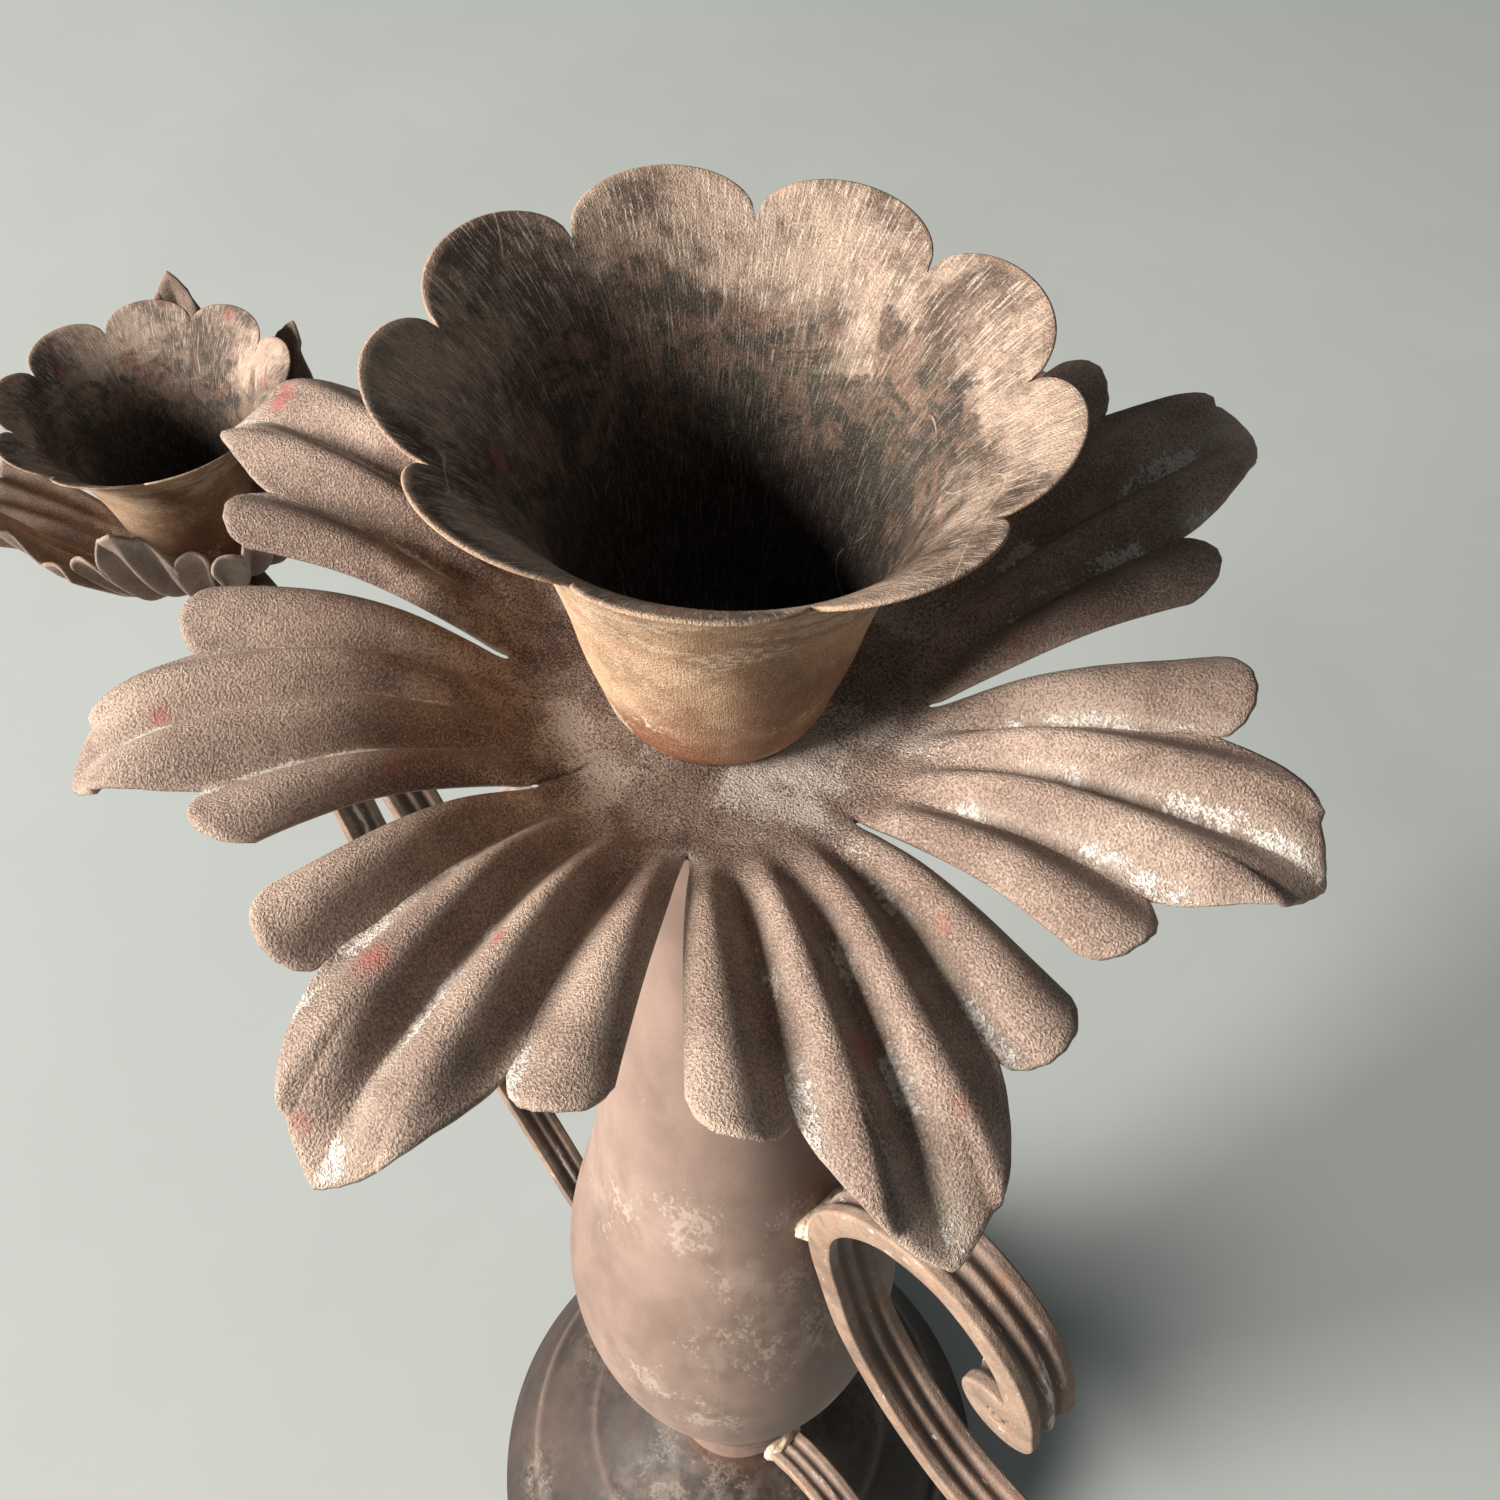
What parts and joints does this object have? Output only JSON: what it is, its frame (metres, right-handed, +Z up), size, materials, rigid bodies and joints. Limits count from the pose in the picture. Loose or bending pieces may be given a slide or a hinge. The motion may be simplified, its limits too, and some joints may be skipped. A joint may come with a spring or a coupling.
{
  "type": "candelabra",
  "caption": "Table candelabra of painted sheet metal: pear-shaped column on a domed foot, opposed scroll arms, scalloped candle cups on pressed leaf pans.",
  "frame": {"origin": "centre of the foot's flat ring, on the surface that the candelabra stands on", "axes": "+Z up along the column, the two arms along +X and -X"},
  "size_m": [0.456, 0.162, 0.4635],
  "materials": {
    "leaf_paint": "chalky mauve-taupe paint, sandy, worn white along the grooves",
    "cup_paint": "chalky taupe paint with rust on the outside and a dark, greenish inside",
    "column_paint": "satin mauve-taupe paint with chalky wear",
    "foot_paint": "satin dark taupe paint, worn along the ridges",
    "strap_paint": "satin taupe paint, worn along the reeds",
    "weld_metal": "lumpy pale weld, thinly painted",
    "aged_steel": "dull brown steel"
  },
  "bodies": {
    "root": {"pan_center": "leaf_paint", "right_pan": "leaf_paint", "left_pan": "leaf_paint", "cup_center": "cup_paint", "right_cup": "cup_paint", "left_cup": "cup_paint", "neck_ferrule": "column_paint", "body_lower": "column_paint", "body_upper": "column_paint", "body_cap": "column_paint", "foot_dome": "foot_paint", "right_scroll_strap": "strap_paint", "right_lower_strap": "strap_paint", "left_scroll_strap": "strap_paint", "left_lower_strap": "strap_paint", "right_body_weld": "weld_metal", "right_neck_weld": "weld_metal", "left_body_weld": "weld_metal", "left_neck_weld": "weld_metal", "tie_rod": "aged_steel", "foot_washer": "aged_steel", "foot_nut": "aged_steel", "nut_center": "aged_steel", "right_washer": "aged_steel", "right_nut": "aged_steel", "right_screw": "aged_steel", "left_washer": "aged_steel", "left_nut": "aged_steel", "left_screw": "aged_steel"}
  },
  "joints": []
}
